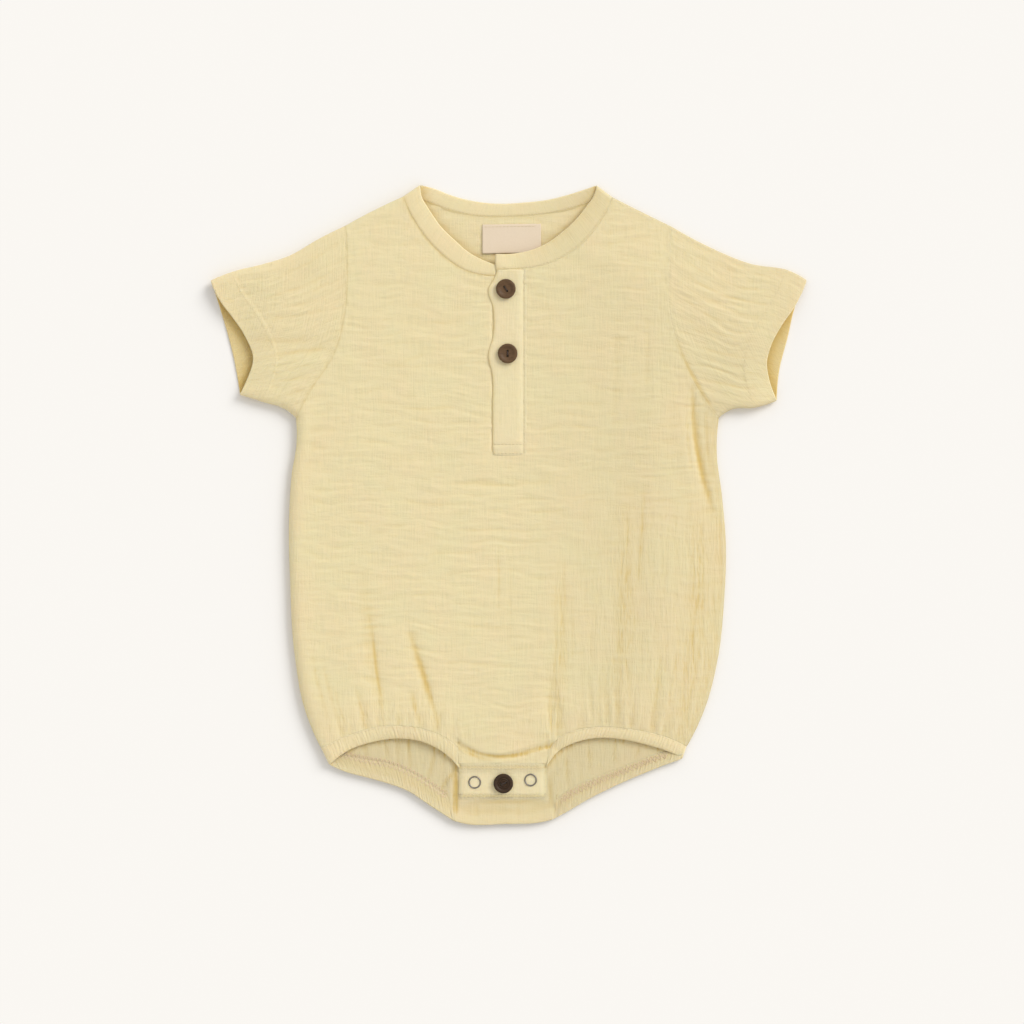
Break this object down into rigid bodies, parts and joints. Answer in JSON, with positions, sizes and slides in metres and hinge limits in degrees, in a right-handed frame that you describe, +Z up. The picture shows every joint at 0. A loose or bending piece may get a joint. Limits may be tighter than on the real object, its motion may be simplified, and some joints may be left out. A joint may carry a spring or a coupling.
{
  "type": "baby bodysuit",
  "caption": "Short-sleeved baby bodysuit of double gauze, laid flat, with a button placket, a bound neck, gathered leg openings and a snap strip at the crotch.",
  "frame": {"origin": "on the surface it lies on, at the middle of its bounding box", "axes": "+Z up out of the surface, through the front; +Y towards the neck; +X to the right of someone looking down at the front, which is the wearer's left"},
  "size_m": [0.3575, 0.3835, 0.0143],
  "materials": {
    "gauze": "matte crinkled double gauze, pale butter yellow",
    "label": "matte woven cotton tape, cream pink, bare",
    "button": "satin dark brown",
    "crotch_button": "satin, darker brown",
    "snap": "satin grey metal"
  },
  "bodies": {
    "root": {"back_panel": "gauze", "front_panel": "gauze", "sleeve_left": "gauze", "sleeve_right": "gauze", "neckband": "gauze", "leg_casing_left": "gauze", "leg_casing_right": "gauze", "placket_under": "gauze", "placket_upper": "gauze", "crotch_tab": "gauze", "neck_label": "label", "button_top": "button", "button_lower": "button", "button_crotch": "crotch_button", "snap_ring_left": "snap", "snap_ring_right": "snap"}
  },
  "joints": []
}
